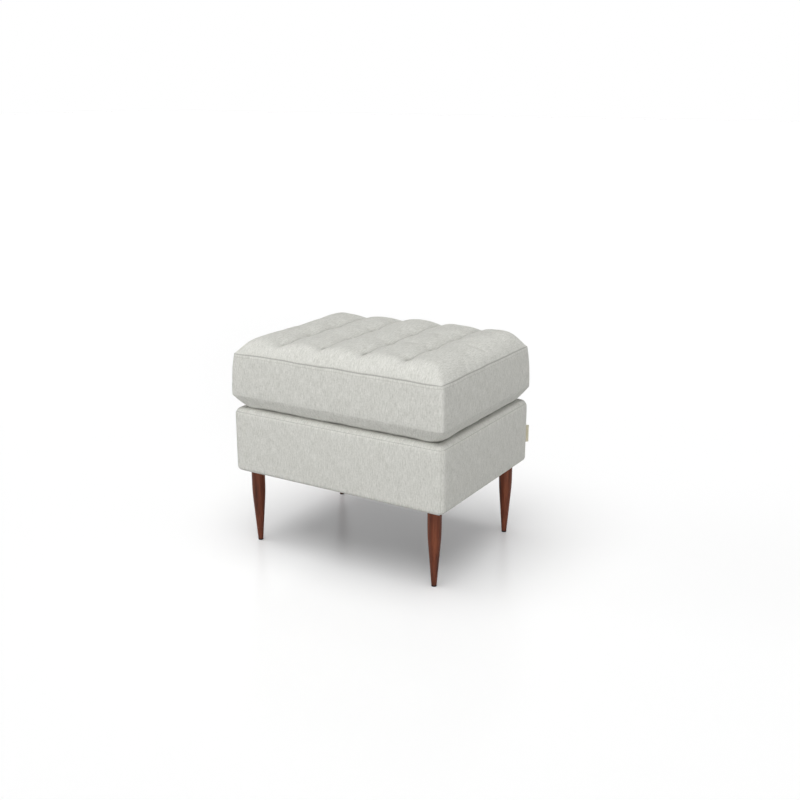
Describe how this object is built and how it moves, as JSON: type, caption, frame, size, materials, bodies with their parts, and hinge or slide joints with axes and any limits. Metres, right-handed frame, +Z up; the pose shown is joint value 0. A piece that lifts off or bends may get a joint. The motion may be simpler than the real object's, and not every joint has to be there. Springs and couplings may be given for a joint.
{
  "type": "tufted ottoman",
  "caption": "Upholstered box footstool on round tapered wooden legs, with a loose blind-tufted box cushion that lifts off and a zip along its back.",
  "frame": {"origin": "on the floor, under the middle of the box around the whole part", "axes": "+Z up, +X to the right along the wide front, +Y from the front to the back; the front faces -Y"},
  "size_m": [0.562, 0.4344, 0.509],
  "materials": {
    "cloth": "matte",
    "lining": "matte",
    "dust_cover": "matte",
    "tag": "matte",
    "padding": "matte",
    "foam": "matte",
    "webbing": "matte",
    "twine": "matte",
    "zip_tape": "matte",
    "timber": "matte",
    "walnut": "satin",
    "steel": "satin",
    "staples": "satin",
    "zip_metal": "satin",
    "glide": "satin"
  },
  "bodies": {
    "base": {"front_rail": "timber", "back_rail": "timber", "left_rail": "timber", "right_rail": "timber", "frame_dowels": "timber", "corner_block_front_left": "timber", "corner_block_front_right": "timber", "corner_block_back_left": "timber", "corner_block_back_right": "timber", "long_strap_front": "webbing", "long_strap_middle": "webbing", "long_strap_back": "webbing", "cross_strap_left": "webbing", "cross_strap_mid_left": "webbing", "cross_strap_mid_right": "webbing", "cross_strap_right": "webbing", "strap_staples": "staples", "rail_padding": "padding", "edge_roll": "foam", "deck_pad": "foam", "platform_cloth": "lining", "top_border": "cloth", "front_panel": "cloth", "back_panel": "cloth", "left_panel": "cloth", "right_panel": "cloth", "side_tag": "tag", "dust_cover": "dust_cover", "dust_cover_staples": "staples", "leg_plate_front_left": "steel", "leg_plate_front_right": "steel", "leg_plate_back_left": "steel", "leg_plate_back_right": "steel", "plate_screws": "steel", "hanger_bolts": "steel", "leg_front_left": "walnut", "leg_front_right": "walnut", "leg_back_left": "walnut", "leg_back_right": "walnut", "glide_front_left": "glide", "glide_front_right": "glide", "glide_back_left": "glide", "glide_back_right": "glide"},
    "cushion": {"cushion_top": "cloth", "cushion_front_band": "cloth", "cushion_left_band": "cloth", "cushion_right_band": "cloth", "cushion_back_band_upper": "cloth", "cushion_back_band_lower": "cloth", "cushion_underside": "cloth", "top_wadding": "padding", "fibre_belt": "padding", "foam_core": "foam", "tuft_twine": "twine", "tuft_anchors": "glide", "zip_tapes": "zip_tape", "zip_teeth": "zip_metal", "zip_stops": "zip_metal"},
    "zip_slider": {"zip_slider": "zip_metal"},
    "zip_pull": {"zip_pull": "zip_metal"}
  },
  "joints": [
    {"name": "cushion_lift", "type": "slide", "parent": "base", "child": "cushion", "axis": [0, 0, 1], "range_m": [0, 0.25]},
    {"name": "zip_slide", "type": "slide", "parent": "cushion", "child": "zip_slider", "axis": [1, 0, 0], "range_m": [0, 0.4294]},
    {"name": "zip_pull_swing", "type": "hinge", "parent": "zip_slider", "child": "zip_pull", "pos_m": [-0.2147, 0.21741, 0.419], "axis": [1, 0, 0], "range_deg": [0, 165]}
  ]
}
